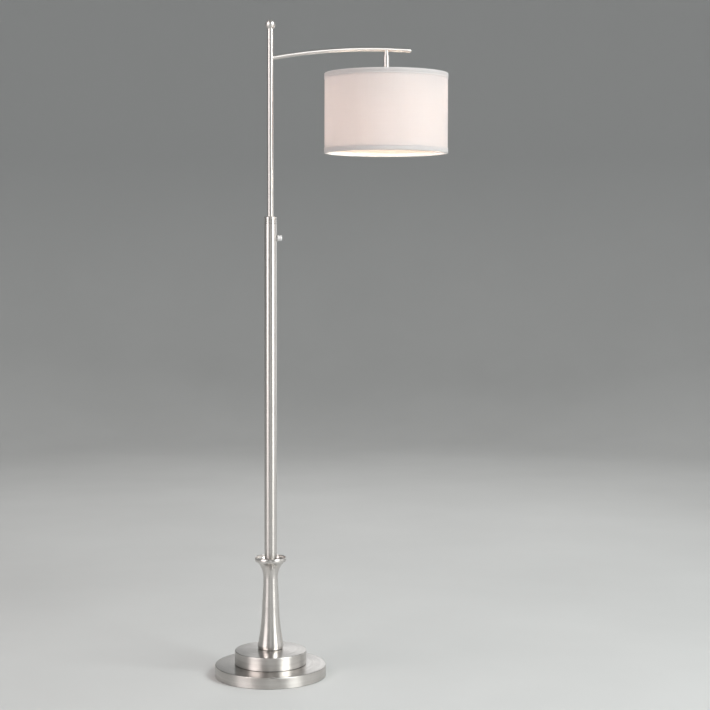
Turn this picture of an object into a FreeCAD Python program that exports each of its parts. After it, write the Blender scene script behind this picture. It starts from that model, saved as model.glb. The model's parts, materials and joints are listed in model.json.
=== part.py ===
import FreeCAD, Part
import math
import os
import Sketcher

# A floor lamp with a height-adjustable, swivelling arm and a hanging drum shade.
#
# Frame: millimetres, +Z up, the origin at the centre of the base on the floor. The arm points along +X.
# The stand is a two-tier weighted base, a trumpet-shaped column and a lower pole with a clamp knob on it.
# The arm head is the thin upper pole that slides and turns in the lower one, with the finial, the arm,
# the stem, the socket, the bulb and the shade.

DIMENSIONS = [
    # base
    ("pad_radius", 128.0, "felt pad under the base"),
    ("pad_thickness", 2.0, "felt pad"),
    ("plate_radius", 131.0, "bottom plate"),
    ("plate_thickness", 2.0, "bottom plate"),
    ("base_radius", 135.0, "lower disc, outside"),
    ("base_lift", 1.0, "floor to the lower disc's bottom edge"),
    ("base_edge", 27.9, "floor to the lower disc's top edge"),
    ("base_flat", 29.6, "floor to the flat middle of the lower disc"),
    ("edge_round", 2.0, "rounding of both discs' top edges"),
    ("shell_wall", 1.5, "sheet of both discs"),
    ("weight_gap", 0.7, "weight to shell"),
    ("weight_shoulder", 2.4, "chamfer on the weight's top edge"),
    ("tier_radius", 87.0, "upper disc, outside"),
    ("gasket_thickness", 1.0, "ring between the discs"),
    ("gasket_inset", 1.2, "gasket's edge behind the upper disc's wall"),
    ("gasket_width", 14.0, "gasket, radially"),
    ("tier_edge", 62.4, "floor to the upper disc's top edge"),
    ("tier_flat", 66.2, "floor to the upper disc's middle"),
    ("tier_flat_radius", 31.0, "flat middle of the upper disc"),
    ("seat_radius", 28.6, "dark ring under the column"),
    ("seat_thickness", 1.0, "dark ring under the column"),
    # clamping stack in the base
    ("pipe_radius", 4.95, "threaded pipe, outside"),
    ("pipe_bore", 3.5, "threaded pipe, inside"),
    ("tapped_radius", 5.0, "hole that the threaded pipe screws into"),
    ("clearance_radius", 5.4, "hole that the threaded pipe passes through"),
    ("pocket_radius", 17.0, "nut pocket in the weight"),
    ("pocket_top", 17.0, "floor to the nut pocket's ceiling"),
    ("spacer_radius", 9.0, "spacer tube inside the upper disc"),
    ("washer_radius", 14.0, "plate washer"),
    ("washer_thickness", 1.6, "plate washer"),
    ("lock_washer_radius", 8.6, "split lock washer"),
    ("lock_washer_thickness", 1.8, "split lock washer"),
    ("lock_washer_split", 1.4, "gap in the lock washer"),
    ("nut_circumradius", 8.1, "hexagon nut over its corners"),
    ("nut_thickness", 4.0, "hexagon nut"),
    ("pipe_foot", 7.0, "floor to the pipe's lower end"),
    ("pipe_head", 88.0, "floor to the pipe's upper end"),
    ("screw_circle", 62.0, "plate screws from the axis"),
    ("screw_head_radius", 3.6, "plate screw"),
    ("screw_head_height", 1.2, "plate screw"),
    ("screw_shank_radius", 1.95, "plate screw"),
    ("screw_shank_length", 10.0, "plate screw"),
    ("screw_play", 0.15, "plate screws to their holes"),
    # cord outlet
    ("outlet_height", 13.0, "cord outlet above the floor"),
    ("outlet_bore", 3.6, "cord outlet, radius"),
    ("outlet_body", 6.0, "grommet where it crosses the shell"),
    ("outlet_flange", 8.0, "grommet flanges"),
    ("outlet_flange_thickness", 2.0, "grommet flanges"),
    ("channel_width", 18.0, "cord channel under the weight"),
    ("channel_top", 22.0, "floor to the channel's ceiling"),
    # column
    ("foot_radius", 30.3, "column at its foot"),
    ("swell_radius", 31.7, "column at its widest, low down"),
    ("swell_height", 74.5, "widest place low down"),
    ("skirt_radius", 20.8, "column where the skirt straightens"),
    ("skirt_height", 170.7, "where the skirt straightens"),
    ("skirt_bend", 560.0, "hollow curve of the skirt"),
    ("neck_radius", 17.7, "column at its narrowest"),
    ("neck_height", 239.4, "column at its narrowest"),
    ("neck_bend", 1500.0, "slight curve between the skirt and the neck"),
    ("flare_radius", 31.0, "cup where the flare ends"),
    ("flare_height", 276.3, "cup where the flare ends"),
    ("flare_bend", 55.8, "hollow curve of the flare"),
    ("rim_radius", 37.2, "cup rim where its bead starts"),
    ("rim_foot", 280.4, "bottom of the rim's bead"),
    ("rim_top", 289.7, "top of the rim's bead"),
    ("rim_bead", 11.0, "curve of the rim's bead"),
    ("rim_wall", 1.4, "rim's bead, inwards"),
    ("rim_hollow", 10.0, "hollow curves from the flare to the bead"),
    ("column_wall", 2.2, "column"),
    ("column_bore", 15.3, "column at its narrowest, inside"),
    # lower pole
    ("pole_radius", 15.0, "lower pole, outside"),
    ("pole_wall", 1.5, "lower pole"),
    ("pole_top", 1097.5, "floor to the lower pole's top"),
    ("plug_length", 25.0, "threaded plug in the pole's foot"),
    ("plug_gap", 0.05, "plugs and spigots to their tubes"),
    ("collar_top", 1115.5, "floor to the collar's top"),
    ("collar_spigot", 20.0, "collar's spigot inside the pole"),
    ("collar_bore", 12.0, "collar around the guide bush"),
    ("collar_lip", 8.3, "collar's mouth"),
    ("collar_lip_height", 1.6, "collar's mouth"),
    ("collar_chamfer", 0.9, "collar's top edge"),
    ("groove_pitch", 5.4, "collar's grooves"),
    ("groove_width", 1.5, "collar's grooves"),
    ("groove_depth", 0.9, "collar's grooves"),
    ("bush_length", 30.0, "guide bush in the collar"),
    ("running_gap", 0.06, "running clearance of what slides or turns"),
    # clamp
    ("clamp_height", 1064.0, "clamp screw above the floor"),
    ("boss_radius", 7.8, "saddle boss on the pole"),
    ("boss_face", 16.6, "boss's face from the pole's axis"),
    ("clamp_thread", 3.0, "tapped hole of the clamp screw"),
    ("knob_gap", 0.4, "boss to knob"),
    ("knob_radius", 6.9, "clamp knob"),
    ("knob_length", 11.0, "clamp knob"),
    ("knob_groove", 1.1, "depth of the groove round the knob"),
    ("knob_groove_width", 1.2, "groove round the knob"),
    ("knob_chamfer", 0.8, "knob's edges"),
    ("knob_socket", 7.6, "knob's hole for the screw"),
    ("flute_radius", 0.45, "flutes round the knob"),
    ("screw_tip", 8.9, "screw's inner end from the pole's axis"),
    ("screw_shoulder", 11.0, "screw's shoulder from the pole's axis"),
    ("screw_spigot", 1.5, "screw's tip"),
    ("pad_face", 7.58, "clamp pad's face from the pole's axis"),
    ("pad_back", 10.6, "clamp pad's back from the pole's axis"),
    ("clamp_pad_radius", 2.8, "clamp pad"),
    ("pad_socket_floor", 8.7, "bottom of the pad's socket from the pole's axis"),
    # upper pole
    ("riser_radius", 7.5, "upper pole, outside"),
    ("riser_wall", 1.2, "upper pole"),
    ("riser_foot", 960.0, "floor to the upper pole's foot"),
    ("riser_top", 1563.0, "floor to the upper pole's top"),
    ("guide_foot", 965.0, "floor to the guide ring"),
    ("guide_length", 20.0, "guide ring"),
    ("clip_gap", 0.5, "guide ring to its clips"),
    ("clip_thickness", 1.2, "clips"),
    ("clip_radius", 9.6, "clips, outside"),
    ("clip_groove", 7.0, "bottom of the clips' grooves"),
    ("finial_radius", 12.0, "ball finial"),
    ("finial_centre", 1573.4, "floor to the ball's centre"),
    ("finial_neck", 7.2, "ball's neck on the pole"),
    ("stud_radius", 2.95, "finial stud"),
    ("stud_hole", 3.0, "hole of the finial stud"),
    ("stud_foot", 1548.5, "floor to the stud's lower end"),
    ("stud_head", 1572.5, "floor to the stud's upper end"),
    ("top_plug_length", 16.0, "plug in the upper pole's top"),
    # arm
    ("arm_radius", 5.0, "arm tube, outside"),
    ("arm_bore", 3.8, "arm tube, inside"),
    ("arm_bend", 1320.0, "arm's curve, along its middle"),
    ("arm_crest_reach", 240.6, "highest place of the arm from the pole"),
    ("arm_crest_height", 1515.4, "arm's middle at its highest place"),
    ("arm_root", 3.0, "arm's inner end from the pole's axis"),
    ("arm_reach", 337.3, "arm's rounded tip from the pole's axis"),
    ("arm_hole_gap", 0.05, "arm to its hole in the pole"),
    ("tip_spigot", 6.0, "arm tip's spigot"),
    # stem
    ("shade_reach", 277.6, "shade's axis from the pole's axis"),
    ("stem_top", 1500.9, "floor to the stem tube's top"),
    ("stem_foot", 1440.0, "floor to the stem tube's foot"),
    ("stem_radius", 7.0, "stem tube"),
    ("stem_wall", 1.2, "stem tube"),
    ("stem_neck_radius", 5.0, "neck between the arm and the stem tube"),
    ("wire_bore", 2.6, "wire's way through the arm and the neck"),
    ("stem_thread", 15.0, "tapped length in the stem tube's foot"),
    ("nipple_foot", 1421.0, "floor to the nipple's lower end"),
    ("nipple_head", 1454.0, "floor to the nipple's upper end"),
    # shade
    ("shade_radius", 147.9, "shade's wall, outside"),
    ("shade_wall", 1.0, "shade's wall, liner and cloth"),
    ("shade_foot", 1268.1, "floor to the shade's bottom edge"),
    ("shade_top", 1456.8, "floor to the shade's top edge"),
    ("trim_height", 12.5, "trim bands"),
    ("trim_thickness", 0.6, "trim bands"),
    ("trim_inside", 7.5, "trim bands, folded round the shade's rings and up its inside"),
    ("spoke_play", 0.4, "spokes to their holes in the trim"),
    ("wire_radius", 1.5, "shade's rings and spokes"),
    ("ring_gap", 0.1, "shade's rings to its wall"),
    ("ring_inset", 2.5, "shade's rings from its edges"),
    ("hub_radius", 16.0, "fitter's hub"),
    ("hub_thickness", 1.6, "fitter's hub"),
    ("fitter_nut_circumradius", 9.5, "fitter nut over its corners"),
    ("fitter_nut_thickness", 4.0, "fitter nut"),
    # socket
    ("cap_radius", 20.4, "socket cap at its skirt"),
    ("cap_neck", 9.0, "socket cap at its top"),
    ("cap_wall", 0.8, "socket cap"),
    ("cap_skirt_top", 1416.0, "floor to the skirt's top"),
    ("cap_foot", 1408.0, "floor to the skirt's foot"),
    ("cap_bend", 20.5, "socket cap's dome"),
    ("socket_radius", 19.5, "socket shell, outside"),
    ("socket_wall", 0.6, "socket shell"),
    ("socket_foot", 1372.0, "floor to the socket's mouth"),
    ("socket_head", 1414.0, "floor to the socket shell's top"),
    ("liner_inset", 2.0, "liner's ends inside the shell's"),
    ("core_radius", 17.7, "insulating core"),
    ("core_foot", 1400.0, "floor to the core"),
    ("core_head", 1411.0, "floor to the core's top"),
    ("core_wire_hole", 3.0, "core's middle hole"),
    ("screw_shell_radius", 14.05, "lamp-holder screw shell, outside"),
    ("screw_shell_wall", 0.6, "lamp-holder screw shell"),
    ("contact_radius", 4.2, "centre contact"),
    ("contact_foot", 1397.6, "floor to the centre contact"),
    # bulb
    ("bulb_centre", 1317.0, "floor to the middle of the bulb's globe"),
    ("bulb_radius", 30.0, "bulb's globe"),
    ("bulb_wall", 1.0, "bulb's glass"),
    ("bulb_shoulder_radius", 26.5, "where the globe becomes the neck"),
    ("bulb_neck_radius", 13.6, "bulb's neck"),
    ("bulb_neck_bend", 90.0, "hollow curve of the bulb's neck"),
    ("bulb_collar", 1370.4, "floor to the bulb's base"),
    ("bulb_base_radius", 13.2, "bulb's screw base, outside"),
    ("bulb_base_wall", 0.5, "bulb's screw base"),
    ("bulb_base_head", 1392.0, "floor to where the base narrows"),
    ("bulb_eyelet_radius", 4.6, "bulb's end contact"),
    ("bulb_eyelet_foot", 1395.4, "floor to the end contact"),
    ("bulb_eyelet_head", 1397.4, "floor to the end contact's top"),
    # switch
    ("switch_height", 1405.5, "switch shaft above the floor"),
    ("switch_shaft_radius", 2.0, "switch shaft"),
    ("switch_hole", 2.5, "hole in the shell and the liner"),
    ("switch_root", 10.0, "shaft's inner end from the socket's axis"),
    ("switch_near", 23.0, "knob's inner face from the socket's axis"),
    ("switch_far", 35.0, "knob's outer face from the socket's axis"),
    ("switch_knob_radius", 6.5, "switch knob"),
    ("switch_round", 2.0, "switch knob's outer edge"),
]

SPOKE_COUNT = 3
SCREW_COUNT = 3
COLLAR_GROOVES = 3
KNOB_FLUTES = 24
SWITCH_FLUTES = 16
ALONG_X = FreeCAD.Rotation(FreeCAD.Vector(0, 1, 0), 90)
ALONG_PLUS_Y = FreeCAD.Rotation(FreeCAD.Vector(1, 0, 0), -90)
ALONG_MINUS_Y = FreeCAD.Rotation(FreeCAD.Vector(1, 0, 0), 90)


class Size:
    """A number together with the expression that gives it from the spreadsheet."""

    def __init__(self, value, text):
        self.value = float(value)
        self.text = text

    def __add__(self, other):
        other = as_size(other)
        return Size(self.value + other.value, f"({self.text} + {other.text})")

    def __sub__(self, other):
        other = as_size(other)
        return Size(self.value - other.value, f"({self.text} - {other.text})")

    def __mul__(self, other):
        other = as_size(other)
        return Size(self.value * other.value, f"({self.text} * {other.text})")

    def __truediv__(self, other):
        other = as_size(other)
        return Size(self.value / other.value, f"({self.text} / {other.text})")

    def __neg__(self):
        return Size(-self.value, f"(-{self.text})")


def as_size(amount):
    return amount if isinstance(amount, Size) else Size(amount, repr(float(amount)))


def function_of(name, amount, result):
    return Size(result, f"{name}({amount.text})")


def arcsine(amount):
    return function_of("asin", amount, math.degrees(math.asin(amount.value)))


def arctangent(amount):
    return function_of("atan", amount, math.degrees(math.atan(amount.value)))


def root_of(amount):
    return function_of("sqrt", amount, math.sqrt(amount.value))


class Dimensions:
    """The spreadsheet, with every alias as an attribute that holds its Size."""

    def __init__(self, document):
        sheet = document.addObject("Spreadsheet::Sheet", "Dims")
        for row, (alias, value, meaning) in enumerate(DIMENSIONS, start=1):
            sheet.set(f"A{row}", alias)
            sheet.set(f"B{row}", str(value))
            sheet.set(f"C{row}", meaning)
            sheet.setAlias(f"B{row}", alias)
        document.recompute()
        for alias, _, _ in DIMENSIONS:
            setattr(self, alias, Size(sheet.get(alias), f"Dims.{alias}"))


doc = FreeCAD.newDocument("FloorLamp")
d = Dimensions(doc)
pieces = []


# ---- drawing and placing ----


def keep(thing, label):
    """Names a finished piece, and lists it for export."""
    thing.Label = label
    pieces.append(thing)
    return thing


def bind(thing, **amounts):
    for name, amount in amounts.items():
        amount = as_size(amount)
        setattr(thing, name, amount.value)
        thing.setExpression(name, amount.text)


def place(thing, x=0.0, y=0.0, z=0.0, rotation=FreeCAD.Rotation()):
    amounts = [as_size(amount) for amount in (x, y, z)]
    position = FreeCAD.Vector(*[amount.value for amount in amounts])
    thing.Placement = FreeCAD.Placement(position, rotation)
    for letter, amount in zip("xyz", amounts):
        thing.setExpression(f".Placement.Base.{letter}", amount.text)
    return thing


def arc_between(start, finish, radius):
    """The short arc that joins two points; a positive radius has its centre on the left of the way."""
    chord = finish - start
    left = FreeCAD.Vector(-chord.y, chord.x, 0).normalize()
    rise = math.sqrt(radius ** 2 - (chord.Length / 2) ** 2)
    centre = start + chord * 0.5 + left * math.copysign(rise, radius)
    first, last = (start, finish) if radius > 0 else (finish, start)
    begin = math.atan2(first.y - centre.y, first.x - centre.x)
    end = math.atan2(last.y - centre.y, last.x - centre.x)
    circle = Part.Circle(centre, FreeCAD.Vector(0, 0, 1), abs(radius))
    return Part.ArcOfCircle(circle, begin, end if end > begin else end + 2 * math.pi)


def drive(sketch, kind, amount, *places):
    """Adds one driven dimension."""
    index = sketch.addConstraint(Sketcher.Constraint(kind, *places, amount.value))
    sketch.setExpression(f"Constraints[{index}]", amount.text)


def draw(sketch, corners):
    """Joins corners (x, y) into a closed outline. A third number is the radius of the arc to the next corner."""
    corners = [tuple(as_size(amount) for amount in corner) for corner in corners]
    points = [FreeCAD.Vector(corner[0].value, corner[1].value, 0) for corner in corners]
    ends = []
    for index, corner in enumerate(corners):
        start = points[index]
        finish = points[(index + 1) % len(points)]
        if len(corner) == 2:
            sketch.addGeometry(Part.LineSegment(start, finish))
            ends.append((1, 2))
        else:
            sketch.addGeometry(arc_between(start, finish, corner[2].value))
            ends.append((1, 2) if corner[2].value > 0 else (2, 1))
    for index in range(len(corners)):
        after = (index + 1) % len(corners)
        sketch.addConstraint(Sketcher.Constraint("Coincident", index, ends[index][1], after, ends[after][0]))
    for index, corner in enumerate(corners):
        drive(sketch, "DistanceX", corner[0], -1, 1, index, ends[index][0])
        drive(sketch, "DistanceY", corner[1], -1, 1, index, ends[index][0])
        if len(corner) == 3:
            bend = corner[2] if corner[2].value > 0 else -corner[2]
            drive(sketch, "Radius", bend, index)


def new_sketch(body, name, plane):
    sketch = body.newObject("Sketcher::SketchObject", name)
    support = [feature for feature in body.Origin.OriginFeatures if feature.Role == plane][0]
    sketch.AttachmentSupport = [(support, "")]
    sketch.MapMode = "FlatFace"
    return sketch


# ---- kinds of piece ----


def turned(name, corners):
    """A piece turned about Z from an outline of (radius, height) corners."""
    body = doc.addObject("PartDesign::Body", name)
    sketch = new_sketch(body, name + "_outline", "XZ_Plane")
    draw(sketch, corners)
    turning = body.newObject("PartDesign::Revolution", name + "_turning")
    turning.Profile = sketch
    turning.ReferenceAxis = (sketch, ["V_Axis"])
    turning.Angle = 360
    body.Tip = turning
    return body


def ring(name, outer, inner, foot, head):
    return turned(name, [(inner, foot), (outer, foot), (outer, head), (inner, head)])


def fluted(body, name, reach, radius, count):
    """Cuts count round flutes along Z into a turned body, centred on its rim."""
    half_pitch = math.pi / count
    across = reach * math.cos(half_pitch)
    along = reach * math.sin(half_pitch)
    sketch = new_sketch(body, name + "_flute_outline", "XY_Plane")
    centre = FreeCAD.Vector(across.value, along.value, 0)
    sketch.addGeometry(Part.Circle(centre, FreeCAD.Vector(0, 0, 1), radius.value))
    drive(sketch, "DistanceX", across, -1, 1, 0, 3)
    drive(sketch, "DistanceY", along, -1, 1, 0, 3)
    drive(sketch, "Radius", radius, 0)
    flute = body.newObject("PartDesign::Pocket", name + "_flute")
    flute.Profile = sketch
    flute.Type = "ThroughAll"
    flute.Reversed = True
    doc.recompute()
    pattern = body.newObject("PartDesign::PolarPattern", name + "_flutes")
    pattern.Originals = [flute]
    pattern.Axis = (sketch, ["N_Axis"])
    pattern.Angle = 360
    pattern.Occurrences = count
    body.Tip = pattern
    return body


def rod(name, radius, length, x=0.0, y=0.0, z=0.0, rotation=FreeCAD.Rotation()):
    """A plain cylinder that starts at a point and runs along its own turned Z."""
    thing = doc.addObject("Part::Cylinder", name)
    bind(thing, Radius=radius, Height=length)
    return place(thing, x, y, z, rotation)


def block(name, length, width, height, x, y, z):
    thing = doc.addObject("Part::Box", name)
    bind(thing, Length=length, Width=width, Height=height)
    return place(thing, x, y, z)


def hexagon(name, circumradius, height, x, z):
    thing = doc.addObject("Part::Prism", name)
    thing.Polygon = 6
    bind(thing, Circumradius=circumradius, Height=height)
    return place(thing, x, 0.0, z)


def group(name, things):
    thing = doc.addObject("Part::Compound", name)
    thing.Links = things
    return thing


def cut(name, base, *tools):
    for number, tool in enumerate(tools, start=1):
        result = doc.addObject("Part::Cut", name if number == len(tools) else f"{name}_cut_{number}")
        result.Base = base
        result.Tool = tool
        base = result
    return base


def fuse(name, things):
    thing = doc.addObject("Part::MultiFuse", name)
    thing.Shapes = things
    return thing


def round_the_axis(name, count, radius, length, reach, z):
    """Equal upright cylinders, evenly spaced on a circle about Z."""
    things = []
    for number in range(count):
        angle = 2 * math.pi * number / count
        x = reach * math.cos(angle)
        y = reach * math.sin(angle)
        things.append(rod(f"{name}_{number + 1}", radius, length, x, y, z))
    return group(name, things)


# ---- base ----


def make_base():
    plate_top = d.pad_thickness + d.plate_thickness
    keep(rod("foot_pad", d.pad_radius, d.pad_thickness), "foot_pad")
    make_bottom_plate(plate_top)
    make_weight(plate_top)
    make_lower_disc()
    gasket_radius = d.tier_radius - d.gasket_inset
    gasket_top = d.base_flat + d.gasket_thickness
    keep(ring("gasket", gasket_radius, gasket_radius - d.gasket_width, d.base_flat, gasket_top), "disc_gasket")
    make_upper_disc(gasket_top)
    spacer_top = d.tier_flat - d.shell_wall
    keep(ring("spacer", d.spacer_radius, d.clearance_radius, d.base_flat, spacer_top), "spacer_tube")


def make_bottom_plate(plate_top):
    head_top = plate_top - d.screw_play * 2
    head_foot = head_top - d.screw_head_height
    blank = ring("plate_blank", d.plate_radius, d.pocket_radius, d.pad_thickness, plate_top)
    pockets = round_the_axis("head_pocket", SCREW_COUNT, d.screw_head_radius + d.screw_play,
                             head_top - d.pad_thickness, d.screw_circle, d.pad_thickness)
    holes = round_the_axis("plate_hole", SCREW_COUNT, d.screw_shank_radius + d.screw_play,
                           plate_top, d.screw_circle, d.pad_thickness)
    keep(cut("plate", blank, pockets, holes), "bottom_plate")
    screws = []
    for number in range(SCREW_COUNT):
        angle = 2 * math.pi * number / SCREW_COUNT
        screw = turned(f"plate_screw_{number + 1}", [
            (0, head_foot),
            (d.screw_head_radius, head_foot),
            (d.screw_head_radius, head_top),
            (d.screw_shank_radius, head_top),
            (d.screw_shank_radius, head_top + d.screw_shank_length),
            (0, head_top + d.screw_shank_length),
        ])
        screws.append(place(screw, d.screw_circle * math.cos(angle), d.screw_circle * math.sin(angle)))
    keep(group("plate_screw_group", screws), "plate_screws")


def make_weight(plate_top):
    outer = d.base_radius - d.shell_wall - d.weight_gap
    top = d.base_edge - d.shell_wall - d.screw_play
    middle_top = d.base_flat - d.shell_wall
    blank = turned("weight_blank", [
        (d.pocket_radius, plate_top),
        (outer, plate_top),
        (outer, top - d.weight_shoulder),
        (outer - d.weight_shoulder, top),
        (d.tier_radius, top),
        (d.tier_radius - d.weight_shoulder, middle_top),
        (d.clearance_radius, middle_top),
        (d.clearance_radius, d.pocket_top),
        (d.pocket_radius, d.pocket_top),
    ])
    channel = block("channel", d.channel_width, d.base_radius, d.channel_top - plate_top,
                    d.channel_width / -2, d.pipe_bore, plate_top)
    holes = round_the_axis("weight_hole", SCREW_COUNT, d.screw_shank_radius + d.plug_gap,
                           d.screw_shank_length + d.plug_gap, d.screw_circle, plate_top)
    keep(cut("weight", blank, channel, holes), "base_weight")


def make_lower_disc():
    inner = d.base_radius - d.shell_wall
    blank = turned("lower_disc_blank", [
        (inner, d.base_lift),
        (d.base_radius, d.base_lift),
        (d.base_radius, d.base_edge - d.edge_round, d.edge_round),
        (d.base_radius - d.edge_round, d.base_edge),
        (d.tier_radius, d.base_flat),
        (d.clearance_radius, d.base_flat),
        (d.clearance_radius, d.base_flat - d.shell_wall),
        (d.tier_radius, d.base_flat - d.shell_wall),
        (d.base_radius - d.edge_round, d.base_edge - d.shell_wall),
        (inner, d.base_edge - d.edge_round),
    ])
    hole = rod("outlet_hole", d.outlet_body, d.base_radius, 0.0, d.tier_radius, d.outlet_height, ALONG_PLUS_Y)
    keep(cut("lower_disc_shell", blank, hole), "lower_disc")
    outside = d.base_radius
    inside = d.base_radius - d.shell_wall - d.screw_play * 2
    grommet = turned("grommet", [
        (d.outlet_bore, inside - d.outlet_flange_thickness),
        (d.outlet_flange, inside - d.outlet_flange_thickness),
        (d.outlet_flange, inside),
        (d.outlet_body - d.plug_gap, inside),
        (d.outlet_body - d.plug_gap, outside),
        (d.outlet_flange, outside, d.outlet_flange_thickness),
        (d.outlet_flange - d.outlet_flange_thickness, outside + d.outlet_flange_thickness),
        (d.outlet_bore, outside + d.outlet_flange_thickness),
    ])
    keep(place(grommet, 0.0, 0.0, d.outlet_height, ALONG_PLUS_Y), "cord_grommet")


def make_upper_disc(foot):
    inner = d.tier_radius - d.shell_wall
    keep(turned("upper_disc_shell", [
        (inner, foot),
        (d.tier_radius, foot),
        (d.tier_radius, d.tier_edge - d.edge_round, d.edge_round),
        (d.tier_radius - d.edge_round, d.tier_edge),
        (d.tier_flat_radius, d.tier_flat),
        (d.clearance_radius, d.tier_flat),
        (d.clearance_radius, d.tier_flat - d.shell_wall),
        (d.tier_flat_radius, d.tier_flat - d.shell_wall),
        (d.tier_radius - d.edge_round, d.tier_edge - d.shell_wall),
        (inner, d.tier_edge - d.edge_round),
    ]), "upper_disc")


def make_clamping_stack():
    """The threaded pipe that pulls the lower pole down on the base, with its nut and washers."""
    keep(ring("pipe", d.pipe_radius, d.pipe_bore, d.pipe_foot, d.pipe_head), "threaded_pipe")
    washer_foot = d.pocket_top - d.washer_thickness
    keep(ring("washer", d.washer_radius, d.clearance_radius, washer_foot, d.pocket_top), "plate_washer")
    lock_foot = washer_foot - d.lock_washer_thickness
    lock_blank = ring("lock_blank", d.lock_washer_radius, d.clearance_radius, lock_foot, washer_foot)
    split = block("lock_split", d.lock_washer_radius, d.lock_washer_split, d.lock_washer_thickness,
                  0.0, d.lock_washer_split / -2, lock_foot)
    keep(cut("lock", lock_blank, split), "lock_washer")
    nut_foot = lock_foot - d.nut_thickness
    nut_blank = hexagon("nut_blank", d.nut_circumradius, d.nut_thickness, 0.0, nut_foot)
    nut_hole = rod("nut_hole", d.tapped_radius, d.nut_thickness, 0.0, 0.0, nut_foot)
    keep(cut("nut", nut_blank, nut_hole), "hex_nut")


# ---- column and lower pole ----


def make_column():
    foot = d.tier_flat + d.seat_thickness
    keep(ring("seat", d.seat_radius, d.pole_radius + d.ring_gap, d.tier_flat, foot), "column_seat")
    wall = d.column_wall
    keep(turned("trumpet", [
        (d.foot_radius, foot, d.swell_radius),
        (d.swell_radius, d.swell_height, -d.skirt_bend),
        (d.skirt_radius, d.skirt_height, -d.neck_bend),
        (d.neck_radius, d.neck_height, -d.flare_bend),
        (d.flare_radius, d.flare_height, -d.rim_hollow),
        (d.rim_radius, d.rim_foot, d.rim_bead),
        (d.rim_radius, d.rim_top, d.rim_wall),
        (d.rim_radius - d.rim_wall, d.rim_top - d.rim_wall, -d.rim_hollow),
        (d.flare_radius - wall, d.flare_height + wall / 2, d.flare_bend + wall),
        (d.column_bore, d.neck_height, d.neck_bend),
        (d.skirt_radius - wall, d.skirt_height, d.skirt_bend + wall),
        (d.swell_radius - wall, d.swell_height),
        (d.foot_radius - wall, foot),
    ]), "column")


def make_lower_pole():
    bore = d.pole_radius - d.pole_wall
    tube = ring("pole_tube", d.pole_radius, bore, d.tier_flat, d.pole_top)
    hole = rod("pole_hole", d.clamp_thread, d.pole_radius * 2, 0.0, 0.0, d.clamp_height, ALONG_X)
    keep(cut("pole", tube, hole), "lower_pole")
    keep(ring("plug", bore - d.plug_gap, d.tapped_radius, d.tier_flat, d.tier_flat + d.plug_length), "pole_plug")
    make_collar(bore)
    boss_blank = rod("boss_blank", d.boss_radius, d.boss_face - d.riser_radius,
                     d.riser_radius, 0.0, d.clamp_height, ALONG_X)
    boss_saddle = rod("boss_saddle", d.pole_radius, d.boss_radius * 4, 0.0, 0.0,
                      d.clamp_height - d.boss_radius * 2)
    boss_hole = rod("boss_hole", d.clamp_thread, d.pole_radius * 2, 0.0, 0.0, d.clamp_height, ALONG_X)
    keep(cut("boss", boss_blank, boss_saddle, boss_hole), "knob_boss")


def make_collar(bore):
    """Screws into the pole's top. Grooves run round it, and it holds the bush that guides the upper pole."""
    spigot_foot = d.pole_top - d.collar_spigot
    lip_foot = d.collar_top - d.collar_lip_height
    corners = [
        (d.collar_bore, spigot_foot),
        (bore - d.plug_gap, spigot_foot),
        (bore - d.plug_gap, d.pole_top),
    ]
    groove_bottom = d.pole_radius - d.groove_depth
    for number in range(COLLAR_GROOVES):
        groove_foot = d.pole_top + d.groove_pitch * number
        groove_head = groove_foot + d.groove_width
        corners += [(groove_bottom, groove_foot + d.plug_gap), (groove_bottom, groove_head)]
        corners += [(d.pole_radius, groove_head + d.groove_width / 2)]
        if number < COLLAR_GROOVES - 1:
            corners += [(d.pole_radius, groove_foot + d.groove_pitch - d.groove_width / 2)]
    corners += [
        (d.pole_radius, d.collar_top - d.collar_chamfer),
        (d.pole_radius - d.collar_chamfer, d.collar_top),
        (d.collar_lip, d.collar_top),
        (d.collar_lip, lip_foot),
        (d.collar_bore, lip_foot),
    ]
    keep(turned("collar", corners), "pole_collar")
    bush_bore = d.riser_radius + d.running_gap
    keep(ring("bush", d.collar_bore - d.plug_gap, bush_bore, lip_foot - d.bush_length, lip_foot), "guide_bush")


# ---- clamp ----


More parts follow.
